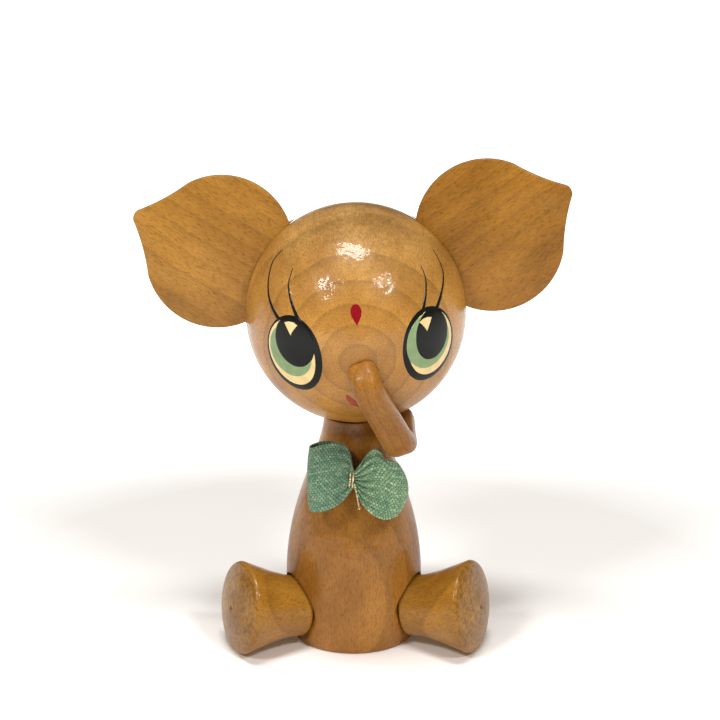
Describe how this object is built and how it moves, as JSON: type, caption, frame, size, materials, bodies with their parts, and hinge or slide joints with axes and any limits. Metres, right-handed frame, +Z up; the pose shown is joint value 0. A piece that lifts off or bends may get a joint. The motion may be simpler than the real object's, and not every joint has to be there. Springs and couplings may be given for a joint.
{
  "type": "carved wooden elephant figurine",
  "caption": "Seated toy elephant in turned wood with a ball head that turns on a peg, veneer ears, a bent trunk that turns on its tenon, flared legs and a ribbon bow.",
  "frame": {"origin": "centre of the body's flat base, on the surface that it stands on", "axes": "+Z up along the body's turned axis; the face looks along -Y, so +X is the animal's left"},
  "size_m": [0.0792, 0.0437, 0.0905],
  "materials": {
    "body_wood": "clear gloss lacquer over straight upright grain",
    "head_wood": "clear gloss lacquer over concentric end-grain rings",
    "ear_wood": "satin lacquer on thin veneer",
    "trunk_wood": "clear gloss lacquer, reddish brown",
    "leg_wood": "clear gloss lacquer, darker end grain on the soles",
    "dowel_wood": "bare, unlacquered",
    "green_ribbon": "sage-green ribbed ribbon with a slight glitter",
    "gold_wire": "pale gold, polished"
  },
  "bodies": {
    "torso": {"body": "body_wood", "neck_dowel": "dowel_wood", "left_leg": "leg_wood", "right_leg": "leg_wood", "left_leg_dowel": "dowel_wood", "right_leg_dowel": "dowel_wood", "bow_ribbon": "green_ribbon", "bow_wire": "gold_wire"},
    "head_group": {"head": "head_wood", "left_ear": "ear_wood", "right_ear": "ear_wood"},
    "trunk_body": {"trunk": "trunk_wood"}
  },
  "joints": [
    {"name": "head_turn", "type": "hinge", "parent": "torso", "child": "head_group", "pos_m": [0, 0, 0.0628], "axis": [0, 0, 1], "range_deg": [0, 180]},
    {"name": "trunk_turn", "type": "hinge", "parent": "head_group", "child": "trunk_body", "pos_m": [0.00043, 0, 0.06276], "axis": [0.0658, -0.9657, -0.2513], "range_deg": [0, 180]}
  ]
}
